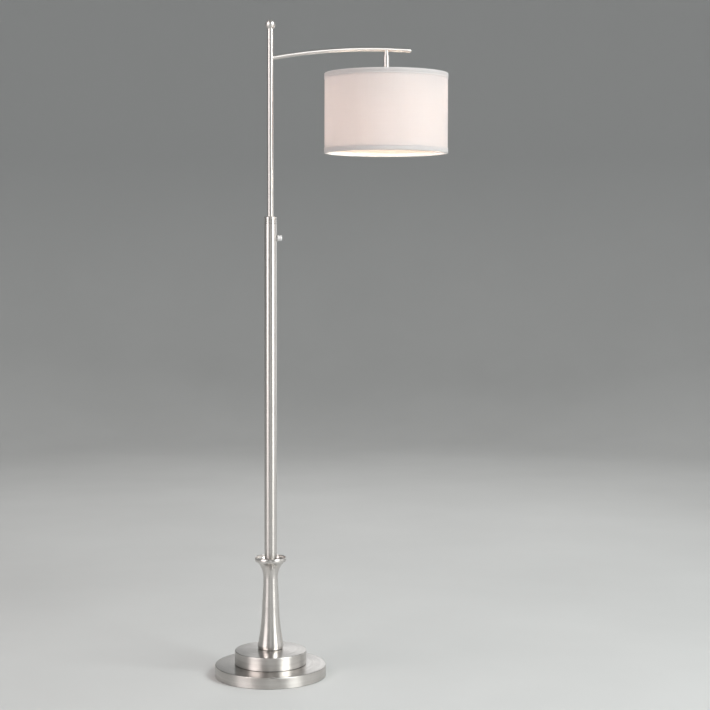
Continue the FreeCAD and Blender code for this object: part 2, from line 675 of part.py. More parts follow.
def make_clamp():
    """The knob, the screw and the pad lie along +X; each is turned about Z first."""
    near = d.boss_face + d.knob_gap
    far = near + d.knob_length
    middle = near + d.knob_length / 2
    waist = d.knob_radius - d.knob_groove
    face = d.knob_radius - d.knob_chamfer
    dome = (face * face + d.knob_chamfer * d.knob_chamfer) / (d.knob_chamfer * 2)
    knob = turned("knob", [
        (d.clamp_thread, near),
        (face, near),
        (d.knob_radius, near + d.knob_chamfer),
        (d.knob_radius, middle - d.knob_groove_width),
        (waist, middle - d.knob_groove_width / 2),
        (waist, middle + d.knob_groove_width / 2),
        (d.knob_radius, middle + d.knob_groove_width),
        (d.knob_radius, far - d.knob_chamfer * 2),
        (face, far - d.knob_chamfer, dome),
        (0, far),
        (0, near + d.knob_socket),
        (d.clamp_thread, near + d.knob_socket),
    ])
    fluted(knob, "knob", d.knob_radius + d.flute_radius / 2, d.flute_radius, KNOB_FLUTES)
    keep(place(knob, 0.0, 0.0, d.clamp_height, ALONG_X), "clamp_knob")
    shank = d.clamp_thread - d.plug_gap
    screw = turned("screw", [
        (0, d.screw_tip),
        (d.screw_spigot, d.screw_tip),
        (d.screw_spigot, d.screw_shoulder),
        (shank, d.screw_shoulder),
        (shank, near + d.knob_socket - d.plug_gap),
        (0, near + d.knob_socket - d.plug_gap),
    ])
    keep(place(screw, 0.0, 0.0, d.clamp_height, ALONG_X), "clamp_screw")
    socket = d.screw_spigot + d.running_gap
    pad = turned("pad", [
        (0, d.pad_face),
        (d.clamp_pad_radius, d.pad_face),
        (d.clamp_pad_radius, d.pad_back),
        (socket, d.pad_back),
        (socket, d.pad_socket_floor),
        (0, d.pad_socket_floor),
    ])
    keep(place(pad, 0.0, 0.0, d.clamp_height, ALONG_X), "clamp_pad")


# ---- upper pole ----


def make_guide():
    """A slippery ring that rides inside the lower pole; the upper pole turns in it, between two clips."""
    guide_head = d.guide_foot + d.guide_length
    outer = d.pole_radius - d.pole_wall - d.running_gap
    keep(ring("guide", outer, d.riser_radius + d.running_gap, d.guide_foot, guide_head), "riser_guide")
    feet = clip_feet()
    clips = [ring(f"clip_{number}", d.clip_radius, d.clip_groove, foot, foot + d.clip_thickness)
             for number, foot in enumerate(feet, start=1)]
    keep(group("clips", clips), "guide_clips")


def clip_feet():
    lower = d.guide_foot - d.clip_gap - d.clip_thickness
    upper = d.guide_foot + d.guide_length + d.clip_gap
    return [lower, upper]


def make_upper_pole():
    bore = d.riser_radius - d.riser_wall
    corners = [(bore, d.riser_foot), (d.riser_radius, d.riser_foot)]
    for foot in clip_feet():
        head = foot + d.clip_thickness
        corners += [(d.riser_radius, foot), (d.clip_groove, foot)]
        corners += [(d.clip_groove, head), (d.riser_radius, head)]
    corners += [(d.riser_radius, d.riser_top), (bore, d.riser_top)]
    tube = turned("riser_tube", corners)
    hole = arm_bar("arm_hole", d.arm_radius + d.arm_hole_gap)
    keep(cut("riser", tube, hole), "upper_pole")
    plug_foot = d.riser_top - d.top_plug_length
    keep(ring("top_plug", bore - d.plug_gap, d.stud_hole, plug_foot, d.riser_top), "pole_top_plug")
    keep(rod("stud", d.stud_radius, d.stud_head - d.stud_foot, 0.0, 0.0, d.stud_foot), "finial_stud")
    make_finial()


def make_finial():
    """A ball on a short neck. The neck's top lies on the ball's sphere."""
    square = d.finial_radius * d.finial_radius - d.finial_neck * d.finial_neck
    neck_top = d.finial_centre - root_of(square)
    keep(turned("finial", [
        (d.stud_hole, d.riser_top),
        (d.finial_neck, d.riser_top),
        (d.finial_neck, neck_top, d.finial_radius),
        (d.finial_radius, d.finial_centre, d.finial_radius),
        (0, d.finial_centre + d.finial_radius),
        (0, d.stud_head + d.plug_gap),
        (d.stud_hole, d.stud_head + d.plug_gap),
    ]), "ball_finial")


# ---- arm and stem ----


def arm_angle(reach):
    """Degrees from straight above the arm's centre of curvature, towards the tip."""
    return arcsine((reach - d.arm_crest_reach) / d.arm_bend)


def arm_height(reach):
    """Height of the arm's middle line at a distance from the pole's axis."""
    along = reach - d.arm_crest_reach
    return d.arm_crest_height - d.arm_bend + root_of(d.arm_bend * d.arm_bend - along * along)


def arm_bar(name, radius):
    """A round bar along the arm's curve, from inside the pole to the tip's shoulder."""
    bar = doc.addObject("Part::Torus", name)
    end = arm_angle(d.arm_reach - d.arm_radius)
    bind(bar, Radius1=d.arm_bend, Radius2=radius, Angle3=end - arm_angle(d.arm_root))
    upright = FreeCAD.Rotation(FreeCAD.Vector(1, 0, 0), 90)
    swing = FreeCAD.Rotation(FreeCAD.Vector(0, 1, 0), end.value - 90)
    return place(bar, d.arm_crest_reach, 0.0, d.arm_crest_height - d.arm_bend, swing * upright)


def make_arm():
    skin = arm_bar("arm_skin", d.arm_radius)
    bore = arm_bar("arm_hollow", d.arm_bore)
    way_down = rod("arm_way_down", d.wire_bore, d.arm_crest_height - d.stem_top,
                   d.shade_reach, 0.0, d.stem_top)
    keep(cut("arm_tube", skin, bore, way_down), "arm")
    make_arm_tip()


def make_arm_tip():
    """A half ball on a spigot, turned about Z and then laid along the arm's end."""
    spigot = d.arm_bore - d.plug_gap
    tip = turned("tip", [
        (0, -d.tip_spigot),
        (spigot, -d.tip_spigot),
        (spigot, 0),
        (d.arm_radius, 0, d.arm_radius),
        (0, d.arm_radius),
    ])
    reach = d.arm_reach - d.arm_radius
    lean = FreeCAD.Rotation(FreeCAD.Vector(0, 1, 0), 90 + arm_angle(reach).value)
    keep(place(tip, reach, 0.0, arm_height(reach), lean), "arm_tip")


def make_stem():
    neck_head = arm_height(d.shade_reach) - d.stem_wall
    neck_blank = ring("neck_blank", d.stem_neck_radius, d.wire_bore, d.stem_top, neck_head)
    place(neck_blank, d.shade_reach)
    keep(cut("neck", neck_blank, arm_bar("neck_saddle", d.arm_radius)), "stem_neck")
    bore = d.stem_radius - d.stem_wall
    thread_head = d.stem_foot + d.stem_thread
    tube = turned("stem", [
        (d.tapped_radius, d.stem_foot),
        (d.stem_radius, d.stem_foot),
        (d.stem_radius, d.stem_top - d.stem_wall / 2),
        (d.stem_radius - d.stem_wall / 2, d.stem_top),
        (d.wire_bore, d.stem_top),
        (d.wire_bore, d.stem_top - d.stem_wall * 2),
        (bore, d.stem_top - d.stem_wall * 2),
        (bore, thread_head),
        (d.tapped_radius, thread_head),
    ])
    keep(place(tube, d.shade_reach), "stem_tube")
    nipple = ring("nipple", d.pipe_radius, d.pipe_bore, d.nipple_foot, d.nipple_head)
    keep(place(nipple, d.shade_reach), "stem_nipple")


# ---- shade ----


def make_spokes(name, radius, spare=0.0):
    """Rods that rise from the fitter's hub to the shade's top ring, and run on by spare."""
    spoke_start = d.hub_radius - d.wire_radius
    start_height = d.stem_foot - d.hub_thickness / 2
    run = rings_inside() - spoke_start
    climb = d.shade_top - d.ring_inset - start_height
    length = root_of(run * run + climb * climb) + spare
    slope = arctangent(climb / run)
    spokes = []
    for number in range(SPOKE_COUNT):
        turn = 360 * number / SPOKE_COUNT + 90
        bearing = math.radians(turn)
        heading = FreeCAD.Rotation(FreeCAD.Vector(0, 0, 1), turn)
        tilt = FreeCAD.Rotation(FreeCAD.Vector(0, 1, 0), 90 - slope.value)
        spokes.append(rod(f"{name}_{number + 1}", radius, length, spoke_start * math.cos(bearing),
                          spoke_start * math.sin(bearing), start_height, heading * tilt))
    return spokes


def make_fitter():
    """A hub on three wire spokes that rise to the shade's top ring."""
    hub_foot = d.stem_foot - d.hub_thickness
    hub = ring("hub", d.hub_radius, d.clearance_radius, hub_foot, d.stem_foot)
    fitter = fuse("fitter", [hub] + make_spokes("spoke", d.wire_radius))
    keep(place(fitter, d.shade_reach), "shade_fitter")
    nut_foot = hub_foot - d.fitter_nut_thickness
    nut_blank = hexagon("fitter_nut_blank", d.fitter_nut_circumradius, d.fitter_nut_thickness,
                        d.shade_reach, nut_foot)
    nut_hole = rod("fitter_nut_hole", d.tapped_radius, d.fitter_nut_thickness, d.shade_reach, 0.0, nut_foot)
    keep(cut("fitter_nut_body", nut_blank, nut_hole), "fitter_nut")


def rings_inside():
    """The smallest radius that the shade's rings leave free."""
    return d.shade_radius - d.shade_wall - d.wire_radius * 2 - d.ring_gap * 2


def make_trim(name, edge, way):
    """A band folded over an edge of the shade and its ring. way is 1 where it runs up from the edge, or -1."""
    outside = d.shade_radius + d.trim_thickness
    inside = rings_inside()
    fold = edge - d.trim_thickness * way
    return turned(name, [
        (inside - d.trim_thickness, fold),
        (outside, fold),
        (outside, edge + d.trim_height * way),
        (d.shade_radius, edge + d.trim_height * way),
        (d.shade_radius, edge),
        (inside, edge),
        (inside, edge + d.trim_inside * way),
        (inside - d.trim_thickness, edge + d.trim_inside * way),
    ])


def make_shade():
    wall = ring("drum", d.shade_radius, d.shade_radius - d.shade_wall, d.shade_foot, d.shade_top)
    keep(place(wall, d.shade_reach), "shade_drum")
    rings = [
        ("shade_top_ring", d.shade_top - d.ring_inset),
        ("shade_bottom_ring", d.shade_foot + d.ring_inset),
    ]
    for label, height in rings:
        wire = doc.addObject("Part::Torus", label + "_wire")
        bind(wire, Radius1=rings_inside() + d.wire_radius + d.ring_gap, Radius2=d.wire_radius)
        keep(place(wire, d.shade_reach, 0.0, height), label)
    top_band = make_trim("shade_trim_top_band", d.shade_top, -1)
    spoke_room = make_spokes("spoke_room", d.wire_radius + d.spoke_play, d.trim_thickness * 2)
    top_trim = cut("shade_trim_top_cut", top_band, *spoke_room)
    keep(place(top_trim, d.shade_reach), "shade_trim_top")
    bottom_band = make_trim("shade_trim_bottom_band", d.shade_foot, 1)
    keep(place(bottom_band, d.shade_reach), "shade_trim_bottom")


# ---- socket, bulb and switch ----


def make_socket():
    cap_top = d.stem_foot - d.hub_thickness - d.fitter_nut_thickness
    cap = turned("cap", [
        (d.tapped_radius, cap_top - d.cap_wall),
        (d.cap_neck, cap_top - d.cap_wall, -(d.cap_bend - d.cap_wall)),
        (d.cap_radius - d.cap_wall, d.cap_skirt_top),
        (d.cap_radius - d.cap_wall, d.cap_foot),
        (d.cap_radius, d.cap_foot),
        (d.cap_radius, d.cap_skirt_top, d.cap_bend),
        (d.cap_neck, cap_top),
        (d.tapped_radius, cap_top),
    ])
    keep(place(cap, d.shade_reach), "socket_cap")
    shell = place(ring("shell_tube", d.socket_radius, d.socket_radius - d.socket_wall,
                       d.socket_foot, d.socket_head), d.shade_reach)
    keep(cut("shell", shell, switch_bore("shell_bore", d.switch_hole)), "socket_shell")
    liner_radius = d.socket_radius - d.socket_wall - d.plug_gap
    liner = place(ring("liner_tube", liner_radius, liner_radius - d.socket_wall,
                       d.socket_foot + d.liner_inset, d.core_head), d.shade_reach)
    keep(cut("liner", liner, switch_bore("liner_bore", d.switch_hole)), "socket_liner")
    core = place(ring("core_blank", d.core_radius, d.core_wire_hole, d.core_foot, d.core_head), d.shade_reach)
    bearing = switch_bore("core_bore", d.switch_shaft_radius + d.running_gap)
    keep(cut("core", core, bearing), "socket_core")
    make_contacts()


def switch_bore(name, radius):
    """The switch shaft's way in from the front, a little deeper than the shaft."""
    start = -(d.switch_root - d.cap_wall)
    return rod(name, radius, d.socket_radius, d.shade_reach, start, d.switch_height, ALONG_MINUS_Y)


def make_contacts():
    bore = d.screw_shell_radius - d.screw_shell_wall
    screw_shell = turned("screw_shell_cup", [
        (bore, d.socket_foot + d.liner_inset),
        (d.screw_shell_radius, d.socket_foot + d.liner_inset),
        (d.screw_shell_radius, d.core_foot),
        (bore - d.core_wire_hole, d.core_foot),
        (bore - d.core_wire_hole, d.core_foot - d.screw_shell_wall),
        (bore, d.core_foot - d.screw_shell_wall),
    ])
    keep(place(screw_shell, d.shade_reach), "screw_shell")
    contact = rod("contact_disc", d.contact_radius, d.core_foot - d.contact_foot,
                  d.shade_reach, 0.0, d.contact_foot)
    keep(contact, "centre_contact")


def make_bulb():
    """A round bulb that hangs from the socket. Its globe is a sphere, joined to the neck by a hollow curve."""
    inner_radius = d.bulb_radius - d.bulb_wall
    shoulder = d.bulb_shoulder_radius
    shoulder_height = d.bulb_centre + root_of(d.bulb_radius * d.bulb_radius - shoulder * shoulder)
    inner_shoulder = shoulder * (inner_radius / d.bulb_radius)
    inner_height = d.bulb_centre + (shoulder_height - d.bulb_centre) * (inner_radius / d.bulb_radius)
    stem_radius = d.bulb_base_radius - d.bulb_base_wall - d.plug_gap
    stem_head = d.bulb_collar + d.bulb_neck_radius
    glass = turned("globe", [
        (0, d.bulb_centre - d.bulb_radius, d.bulb_radius),
        (d.bulb_radius, d.bulb_centre, d.bulb_radius),
        (shoulder, shoulder_height, -d.bulb_neck_bend),
        (d.bulb_neck_radius, d.bulb_collar),
        (stem_radius, d.bulb_collar),
        (stem_radius, stem_head),
        (stem_radius - d.bulb_wall, stem_head),
        (stem_radius - d.bulb_wall, d.bulb_collar, d.bulb_neck_bend),
        (inner_shoulder, inner_height, -inner_radius),
        (inner_radius, d.bulb_centre, -inner_radius),
        (0, d.bulb_centre - inner_radius),
    ])
    keep(place(glass, d.shade_reach), "bulb_glass")
    base_foot = d.bulb_collar + d.plug_gap
    base = turned("bulb_cap", [
        (d.bulb_base_radius - d.bulb_base_wall, base_foot),
        (d.bulb_base_radius, base_foot),
        (d.bulb_base_radius, d.bulb_base_head),
        (d.bulb_eyelet_radius, d.bulb_eyelet_foot),
        (0, d.bulb_eyelet_foot),
        (0, d.bulb_base_head),
        (d.bulb_base_radius - d.bulb_base_wall, d.bulb_base_head),
    ])
    keep(place(base, d.shade_reach), "bulb_base")
    keep(rod("eyelet", d.bulb_eyelet_radius - d.bulb_base_wall, d.bulb_eyelet_head - d.bulb_eyelet_foot,
             d.shade_reach, 0.0, d.bulb_eyelet_foot), "bulb_contact")


def make_switch():
    """A shaft that turns in the socket's core, and a fluted knob on it, both along -Y."""
    shaft_end = d.switch_far - d.switch_round
    shaft = rod("shaft", d.switch_shaft_radius, shaft_end - d.switch_root,
                d.shade_reach, -d.switch_root, d.switch_height, ALONG_MINUS_Y)
    keep(shaft, "switch_shaft")
    bore = d.switch_shaft_radius + d.plug_gap
    knob = turned("switch_grip", [
        (bore, d.switch_near),
        (d.switch_knob_radius - d.switch_round / 2, d.switch_near),
        (d.switch_knob_radius, d.switch_near + d.switch_round / 2),
        (d.switch_knob_radius, d.switch_far - d.switch_round, d.switch_round),
        (d.switch_knob_radius - d.switch_round, d.switch_far),
        (0, d.switch_far),
        (0, shaft_end + d.plug_gap),
        (bore, shaft_end + d.plug_gap),
    ])
    fluted(knob, "switch", d.switch_knob_radius + d.flute_radius / 2, d.flute_radius, SWITCH_FLUTES)
    keep(place(knob, d.shade_reach, 0.0, d.switch_height, ALONG_MINUS_Y), "switch_knob")


# ---- checking and writing ----


def check_and_export():
    doc.recompute()
    for thing in doc.Objects:
        if "Invalid" in thing.State or "Error" in thing.State:
            raise RuntimeError(f"{thing.Label} failed: {thing.State}")
    os.makedirs("parts", exist_ok=True)
    for piece in pieces:
        shape = piece.Shape
        if shape.isNull() or not shape.isValid() or not shape.Solids:
            raise RuntimeError(f"{piece.Label} has no valid solid")
    for piece in pieces:
        piece.Shape.exportStep(f"parts/{piece.Label}.step")
        print(f"{piece.Label}: {len(piece.Shape.Solids)} solid(s), {piece.Shape.Volume:.1f} mm3")


make_base()
make_clamping_stack()
make_column()
make_lower_pole()
make_clamp()
make_guide()
make_upper_pole()
make_arm()
make_stem()
make_fitter()
make_shade()
make_socket()
make_bulb()
make_switch()
check_and_export()
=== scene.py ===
import bmesh
import bpy
import json
import math
from mathutils import Euler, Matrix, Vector, noise


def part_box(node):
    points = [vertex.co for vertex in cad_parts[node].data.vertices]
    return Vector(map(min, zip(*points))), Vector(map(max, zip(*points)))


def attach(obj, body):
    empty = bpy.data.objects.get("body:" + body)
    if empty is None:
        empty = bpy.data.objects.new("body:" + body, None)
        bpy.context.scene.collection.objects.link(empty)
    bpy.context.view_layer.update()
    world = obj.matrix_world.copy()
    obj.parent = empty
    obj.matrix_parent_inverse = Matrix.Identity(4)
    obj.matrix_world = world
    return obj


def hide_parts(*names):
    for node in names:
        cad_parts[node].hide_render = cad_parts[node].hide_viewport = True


# The looks of the adjustable arm floor lamp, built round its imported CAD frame.
# Metres, +Z up, the origin on the floor at the middle of the base, and the arm along +X.
# The metal and the electrical pieces are the CAD nodes with better materials. The shade's cloth, liner and
# trims and the felt pad are made here.

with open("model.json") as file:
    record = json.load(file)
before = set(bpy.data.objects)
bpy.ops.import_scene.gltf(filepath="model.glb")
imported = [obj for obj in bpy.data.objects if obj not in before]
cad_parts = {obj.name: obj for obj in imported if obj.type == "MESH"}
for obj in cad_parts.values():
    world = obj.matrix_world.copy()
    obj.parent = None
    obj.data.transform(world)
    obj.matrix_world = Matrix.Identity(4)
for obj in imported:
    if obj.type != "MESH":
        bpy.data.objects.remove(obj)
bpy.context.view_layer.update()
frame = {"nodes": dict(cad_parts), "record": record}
nodes = frame["nodes"]

TURN = 2 * math.pi


def box_middle(node):
    low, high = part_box(node)
    return (low + high) / 2


STAND_AXIS = Vector((0, 0, 0))
SHADE_AXIS = Vector((box_middle("shade_drum").x, 0, 0))


# ---- camera ----

CAMERA_PLACE = (0.206, -3.90, 1.047)
CAMERA_PITCH = math.radians(3.0)
CAMERA_YAW = math.radians(0.029)
CAMERA_ROLL = math.radians(0.124)
CAMERA_LENS_MM = 82.03
CAMERA_RISE = -0.035


def make_camera():
    """A little below the lower pole's top, and pitched and shifted down to take in the base."""
    data = bpy.data.cameras.new("camera")
    data.sensor_width = 36
    data.lens = CAMERA_LENS_MM
    data.shift_y = CAMERA_RISE
    camera = bpy.data.objects.new("camera", data)
    camera.location = CAMERA_PLACE
    turned = Euler((math.radians(90) - CAMERA_PITCH, 0, CAMERA_YAW)).to_matrix()
    camera.rotation_euler = (turned @ Euler((0, 0, CAMERA_ROLL)).to_matrix()).to_euler()
    bpy.context.scene.collection.objects.link(camera)
    bpy.context.scene.camera = camera


make_camera()


# ---- materials ----


looks = {}


class Recipe:
    """A node material in the making, kept in looks. Sockets go in as they are, and the rest as values."""

    def __init__(self, name):
        material = bpy.data.materials.new(name)
        material.use_nodes = True
        looks[name] = material
        self.tree = material.node_tree
        self.shader = self.tree.nodes["Principled BSDF"]
        self.output = self.tree.nodes["Material Output"]

    def node(self, kind, inputs=None, **settings):
        made = self.tree.nodes.new(kind)
        for name, value in settings.items():
            setattr(made, name, value)
        self.feed(made, inputs or {})
        return made

    def feed(self, node, inputs):
        for name, value in inputs.items():
            if isinstance(value, bpy.types.NodeSocket):
                self.tree.links.new(value, node.inputs[name])
            else:
                node.inputs[name].default_value = value

    def surface(self, **inputs):
        self.feed(self.shader, {name.replace("_", " "): value for name, value in inputs.items()})

    def math(self, operation, first, second=0.0, third=0.0):
        return self.node("ShaderNodeMath", {0: first, 1: second, 2: third}, operation=operation).outputs[0]

    def position(self):
        return self.node("ShaderNodeTexCoord").outputs["Object"]

    def parts_of(self, vector):
        return self.node("ShaderNodeSeparateXYZ", {0: vector}).outputs

    def vector(self, x, y, z):
        return self.node("ShaderNodeCombineXYZ", {0: x, 1: y, 2: z}).outputs[0]

    def from_axis(self, axis):
        """The position counted from a vertical axis."""
        inputs = {0: self.position(), 1: axis}
        return self.node("ShaderNodeVectorMath", inputs, operation="SUBTRACT").outputs[0]

    def noise(self, vector, scale, detail=3.0, roughness=0.55):
        inputs = {"Vector": vector, "Scale": scale, "Detail": detail, "Roughness": roughness}
        return self.node("ShaderNodeTexNoise", inputs).outputs["Fac"]

    def spread(self, value, low, high, source_low=0.3, source_high=0.7):
        """value moved from the source range to low..high."""
        source = {"Value": value, "From Min": source_low, "From Max": source_high}
        return self.node("ShaderNodeMapRange", {**source, "To Min": low, "To Max": high}).outputs[0]

    def blend(self, share, first, second):
        """A colour between two colours, each a colour or a socket."""
        mix = self.node("ShaderNodeMix", {"Factor": share}, data_type="RGBA")
        for index, colour in ((6, first), (7, second)):
            self.feed(mix, {index: (*colour, 1) if isinstance(colour, tuple) else colour})
        return mix.outputs[2]

    def bump(self, height, distance, strength=1.0):
        inputs = {"Height": height, "Distance": distance, "Strength": strength}
        return self.node("ShaderNodeBump", inputs).outputs[0]


LINE_STRETCH = 60.0


def turned_lines(recipe, axis):
    """Coordinates that change fast along a turned piece's outline and slowly round it."""
    x, y, z = recipe.parts_of(recipe.from_axis(axis))
    squares = recipe.math("ADD", recipe.math("MULTIPLY", x, x), recipe.math("MULTIPLY", y, y))
    along = recipe.math("ADD", z, recipe.math("SQRT", squares))
    return recipe.vector(x, y, recipe.math("MULTIPLY", along, LINE_STRETCH))


def drawn_lines(recipe):
    """Coordinates that change slowly along X and fast across it."""
    x, y, z = recipe.parts_of(recipe.position())
    fast_y = recipe.math("MULTIPLY", y, LINE_STRETCH)
    fast_z = recipe.math("MULTIPLY", z, LINE_STRETCH)
    return recipe.vector(x, fast_y, fast_z)


def metal(name, colour, darker, roughness, lines="turned", axis=STAND_AXIS, brushed=0.0, coarse_scale=5.2,
          top_roughness=None):
    """Metal with fine lines, coarser streaks and faint smudges.

    Its lines are turned, round a vertical axis, or drawn, along X. brushed spreads its highlights across
    them. A surface that faces up may be smoother."""
    recipe = Recipe(name)
    streaks_at = turned_lines(recipe, axis) if lines == "turned" else drawn_lines(recipe)
    fine = recipe.noise(streaks_at, 26.0, 3.0, 0.7)
    coarse = recipe.noise(streaks_at, coarse_scale, 4.0, 0.7)
    smudges = recipe.noise(recipe.position(), 17.0, 4.0)
    streaks = recipe.math("MULTIPLY_ADD", coarse, 0.6, recipe.math("MULTIPLY", fine, 0.4))
    tone = recipe.math("MULTIPLY_ADD", smudges, 0.3, recipe.math("MULTIPLY", streaks, 0.7))
    rough = recipe.spread(tone, roughness + 0.025, roughness - 0.025, 0.38, 0.62)
    if top_roughness:
        facing_up = recipe.parts_of(recipe.node("ShaderNodeNewGeometry").outputs["Normal"])[2]
        share = recipe.spread(facing_up, 0.0, 1.0, 0.6, 0.95)
        smooth = recipe.spread(tone, top_roughness + 0.02, top_roughness - 0.02, 0.38, 0.62)
        change = recipe.math("MULTIPLY", share, recipe.math("SUBTRACT", smooth, rough))
        rough = recipe.math("ADD", rough, change)
    recipe.surface(
        Base_Color=recipe.blend(recipe.spread(tone, 0.0, 1.0, 0.38, 0.62), darker, colour),
        Metallic=1.0,
        Roughness=rough,
        Normal=recipe.bump(fine, 0.000004),
    )
    if brushed:
        if lines == "turned":
            tangent = recipe.node("ShaderNodeTangent", direction_type="RADIAL", axis="Z").outputs[0]
        else:
            inputs = {0: recipe.node("ShaderNodeNewGeometry").outputs["Normal"], 1: (1, 0, 0)}
            tangent = recipe.node("ShaderNodeVectorMath", inputs, operation="CROSS_PRODUCT").outputs[0]
        recipe.surface(Anisotropic=brushed, Anisotropic_Rotation=0.25, Tangent=tangent)


def plastic(name, colour, darker, roughness, speckle=300.0, depth=0.00002):
    """Moulded plastic, rubber, enamel or fibre board: a fine pebbled skin over a slow change of tone."""
    recipe = Recipe(name)
    skin = recipe.noise(recipe.position(), speckle, 2.0)
    tone = recipe.noise(recipe.position(), 18.0, 3.0)
    recipe.surface(
        Base_Color=recipe.blend(recipe.spread(tone, 0.0, 1.0), darker, colour),
        Roughness=recipe.spread(skin, roughness - 0.05, roughness + 0.05),
        Normal=recipe.bump(skin, depth),
    )


def cast(name, colour, darker):
    """Sand-cast iron."""
    recipe = Recipe(name)
    grit = recipe.noise(recipe.position(), 420.0, 5.0, 0.7)
    patches = recipe.noise(recipe.position(), 14.0, 4.0)
    recipe.surface(
        Base_Color=recipe.blend(recipe.spread(patches, 0.0, 1.0), darker, colour),
        Metallic=0.55,
        Roughness=recipe.spread(grit, 0.55, 0.8),
        Normal=recipe.bump(grit, 0.0004),
    )


def felt(name, colour, darker):
    """Pressed wool felt: short tangled fibres."""
    recipe = Recipe(name)
    fibres = recipe.noise(recipe.position(), 900.0, 5.0, 0.8)
    clumps = recipe.noise(recipe.position(), 120.0, 4.0, 0.6)
    both = recipe.math("MULTIPLY_ADD", clumps, 0.6, recipe.math("MULTIPLY", fibres, 0.4))
    recipe.surface(
        Base_Color=recipe.blend(recipe.spread(both, 0.0, 1.0), darker, colour),
        Roughness=recipe.spread(fibres, 0.88, 1.0),
        Normal=recipe.bump(both, 0.0006),
        Sheen_Weight=0.4,
        Sheen_Roughness=0.6,
    )


def glowing_glass(name, colour, strength):
    """The bulb's frosted glass, lit from inside, with a faint mottle."""
    recipe = Recipe(name)
    frost = recipe.noise(recipe.position(), 700.0, 2.0)
    clouds = recipe.noise(recipe.position(), 30.0, 2.0)
    recipe.surface(
        Base_Color=recipe.blend(recipe.spread(clouds, 0.0, 1.0), (0.86, 0.85, 0.82), (0.93, 0.92, 0.9)),
        Roughness=recipe.spread(frost, 0.38, 0.48),
        Normal=recipe.bump(frost, 0.00002),
        Emission_Color=(*colour, 1),
        Emission_Strength=strength,
    )


THREADS_ROUND = 1500
THREADS_PER_METRE = 1580.0
CLOTH_GLOW = (1.0, 0.925, 0.935)


def let_light_through(recipe, share, glow, **inputs):
    """Gives share of the surface to light that passes through it, tinted by glow."""
    through = recipe.node("ShaderNodeBsdfTranslucent", {"Color": (*glow, 1), **inputs}).outputs[0]
    mixed = recipe.node("ShaderNodeMixShader", {0: share, 1: recipe.shader.outputs[0], 2: through})
    recipe.tree.links.new(mixed.outputs[0], recipe.output.inputs["Surface"])


def cloth(name, colour, darker, see_through):
    """Plain weave with slubs, in threads round the shade's axis and up it. Some light passes through."""
    recipe = Recipe(name)
    x, y, z = recipe.parts_of(recipe.from_axis(SHADE_AXIS))
    turn = recipe.math("ARCTAN2", y, x)
    warp_phase = recipe.math("MULTIPLY", turn, THREADS_ROUND / 2)
    weft_phase = recipe.math("MULTIPLY", z, THREADS_PER_METRE * math.pi)
    warp = recipe.math("ABSOLUTE", recipe.math("SINE", warp_phase))
    weft = recipe.math("ABSOLUTE", recipe.math("SINE", weft_phase))
    over = recipe.math("MULTIPLY", recipe.math("SINE", warp_phase), recipe.math("SINE", weft_phase))
    weave = recipe.math("MULTIPLY_ADD", over, 0.35, recipe.math("MAXIMUM", warp, weft))
    wefts = recipe.noise(recipe.vector(x, y, recipe.math("MULTIPLY", z, 90.0)), 11.0, 4.0, 0.65)
    round_x = recipe.math("MULTIPLY", recipe.math("COSINE", turn), 14.0)
    round_y = recipe.math("MULTIPLY", recipe.math("SINE", turn), 14.0)
    warps = recipe.noise(recipe.vector(round_x, round_y, recipe.math("MULTIPLY", z, 1.2)), 9.0, 4.0, 0.65)
    slubs = recipe.math("MULTIPLY_ADD", wefts, 0.5, recipe.math("MULTIPLY", warps, 0.5))
    yarn = recipe.blend(recipe.spread(slubs, 0.0, 1.0, 0.38, 0.6), darker, colour)
    shadow = tuple(channel * 0.93 for channel in darker)
    woven = recipe.blend(recipe.spread(weave, 0.35, 0.0, 0.0, 0.9), yarn, shadow)
    height = recipe.math("MULTIPLY_ADD", slubs, 1.2, weave)
    normal = recipe.bump(height, 0.00012, 0.8)
    recipe.surface(
        Base_Color=woven,
        Roughness=recipe.spread(slubs, 0.78, 0.92),
        Normal=normal,
        Sheen_Weight=0.12,
        Sheen_Roughness=0.5,
    )
    let_light_through(recipe, see_through, CLOTH_GLOW, Normal=normal)


def liner_sheet(name, colour, darker, see_through, glow):
    """Smooth opal plastic sheet with a faint haze."""
    recipe = Recipe(name)
    haze = recipe.noise(recipe.position(), 40.0, 3.0)
    skin = recipe.noise(recipe.position(), 500.0, 2.0)
    recipe.surface(
        Base_Color=recipe.blend(recipe.spread(haze, 0.0, 1.0), darker, colour),
        Roughness=recipe.spread(skin, 0.42, 0.52),
        Normal=recipe.bump(skin, 0.00001),
    )
    let_light_through(recipe, see_through, glow)


NICKEL = (0.71, 0.685, 0.66)
NICKEL_DARK = (0.62, 0.595, 0.57)
NICKEL_DARKEST = (0.54, 0.515, 0.49)
BULB_STRENGTH = 23.0

metal("satin_nickel_disc", NICKEL, NICKEL_DARKEST, 0.4, brushed=0.85, coarse_scale=1.8, top_roughness=0.24)
metal("satin_nickel_turned", NICKEL, NICKEL_DARK, 0.3, brushed=0.8)
metal("satin_nickel_tube", NICKEL, NICKEL_DARK, 0.3, brushed=0.8)
metal("satin_nickel_stem", NICKEL, NICKEL_DARK, 0.3, axis=SHADE_AXIS, brushed=0.8)
metal("satin_nickel_ball", NICKEL, NICKEL_DARK, 0.4, brushed=0.4)
# The arm's nickel is a paler copy of the same satin nickel: the paler colour is painted light, for the
# brighter light the arm catches.
metal("satin_nickel_arm_painted_lighter", (0.8, 0.775, 0.75), (0.72, 0.695, 0.67), 0.46, "drawn", brushed=0.85)
# The knob's nickel is a near-white copy of the nickel: its paleness is a painted highlight, standing in for
# the bright light its knurls catch.
metal("knurled_nickel_painted_highlight", (0.95, 0.95, 0.95), (0.89, 0.89, 0.89), 0.58, "drawn")
metal("zinc_steel", (0.62, 0.62, 0.60), (0.50, 0.50, 0.48), 0.42)
metal("brass", (0.74, 0.56, 0.26), (0.62, 0.45, 0.2), 0.3, axis=SHADE_AXIS)
